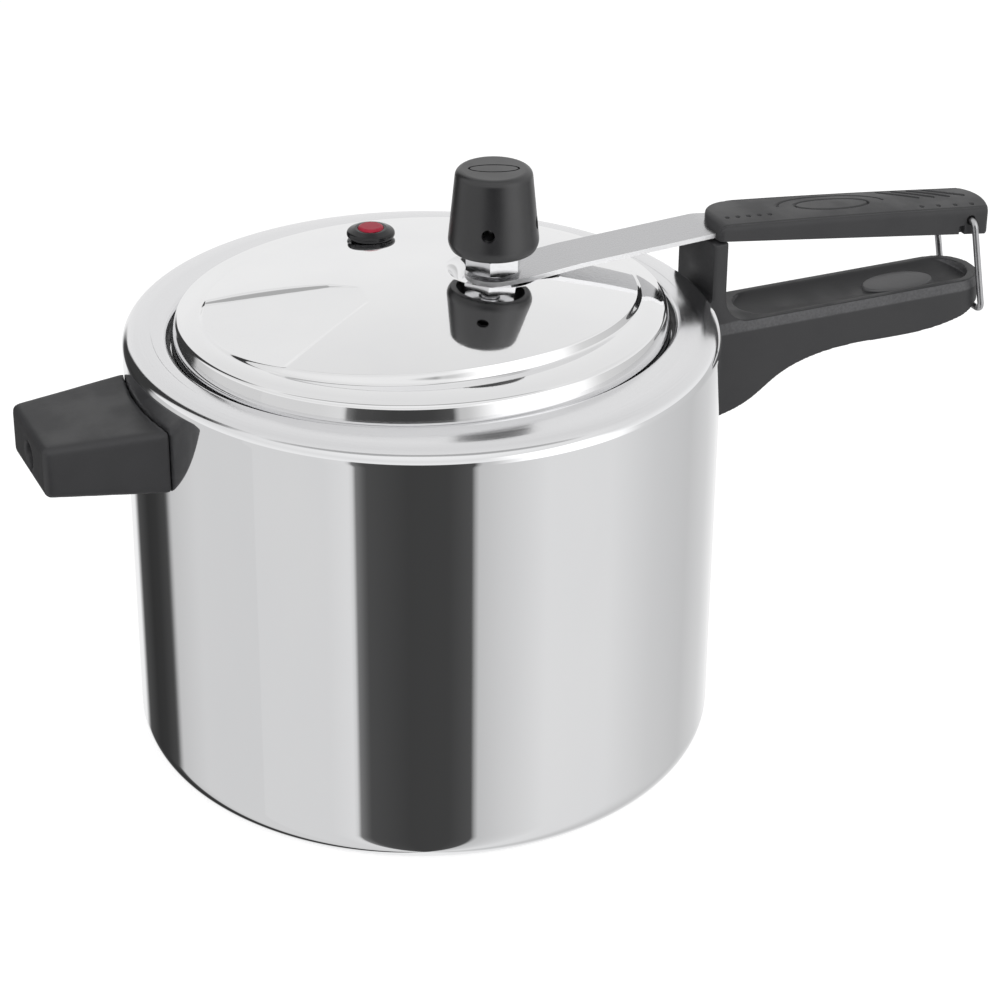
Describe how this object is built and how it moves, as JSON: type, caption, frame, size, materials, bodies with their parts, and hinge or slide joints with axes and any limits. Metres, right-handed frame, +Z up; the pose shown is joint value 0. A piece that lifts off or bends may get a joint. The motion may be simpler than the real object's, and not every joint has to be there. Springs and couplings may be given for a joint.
{
  "type": "stove-top pressure cooker",
  "caption": "Stove-top pressure cooker: drawn pot with turned-in rim, inner oval lid pulled up by a spring lever, weight regulator, safety valve, wire bail latch and black handles.",
  "frame": {"origin": "centre of the pot's flat bottom", "axes": "+Z up along the pot's axis, +X along the long handles, helper handle on -X"},
  "size_m": [0.424, 0.24, 0.243],
  "materials": {
    "polished_aluminium": "polished",
    "black_plastic": "fine moulded grain",
    "spring_steel": "brushed along the strap",
    "steel_wire": "drawn wire",
    "plated_steel": "bright plated",
    "rivet_aluminium": "satin",
    "gasket_rubber": "satin",
    "valve_rubber": "satin",
    "red_silicone": "satin"
  },
  "bodies": {
    "pot": {"pot_body": "polished_aluminium", "handle_bracket": "plated_steel", "handle_bracket_rivets": "rivet_aluminium", "lower_handle": "black_plastic", "lower_handle_screw": "plated_steel", "lower_handle_washer": "plated_steel", "helper_bracket": "plated_steel", "helper_bracket_rivets": "rivet_aluminium", "helper_handle": "black_plastic", "helper_handle_screw": "plated_steel", "helper_handle_washer": "plated_steel"},
    "lever": {"spring_strap": "spring_steel", "upper_handle": "black_plastic", "upper_handle_screws": "plated_steel"},
    "bail": {"latch_bail": "steel_wire"},
    "lid": {"lid": "polished_aluminium", "lid_gasket": "gasket_rubber", "vent_stem": "plated_steel", "stem_seal": "gasket_rubber", "stem_lock_nut": "plated_steel", "strap_nut": "plated_steel", "safety_valve_body": "valve_rubber"},
    "regulator": {"regulator_cap": "black_plastic", "regulator_weight": "plated_steel", "regulator_needle": "plated_steel"},
    "plug": {"safety_plug": "red_silicone"}
  },
  "joints": [
    {"name": "lever_lift", "type": "hinge", "parent": "pot", "child": "lever", "pos_m": [0.1265, 0, 0.2005], "axis": [0, -1, 0], "range_deg": [0, 7]},
    {"name": "lid_level", "type": "hinge", "parent": "lever", "child": "lid", "pos_m": [0.031, 0, 0.198], "axis": [0, -1, 0], "range_deg": [-7, 0]},
    {"name": "bail_swing", "type": "hinge", "parent": "lever", "child": "bail", "pos_m": [0.2475, 0, 0.1908], "axis": [0, -1, 0], "range_deg": [0, 98]},
    {"name": "regulator_lift", "type": "slide", "parent": "lid", "child": "regulator", "axis": [0, 0, 1], "range_m": [0, 0.04]},
    {"name": "safety_plug_pop", "type": "slide", "parent": "lid", "child": "plug", "axis": [0, 0, 1], "range_m": [0, 0.004]}
  ],
  "couplings": [
    {"joint": "lid_level", "follows": "lever_lift", "ratio": -1},
    {"joint": "bail_swing", "follows": "lever_lift", "ratio": 14}
  ]
}
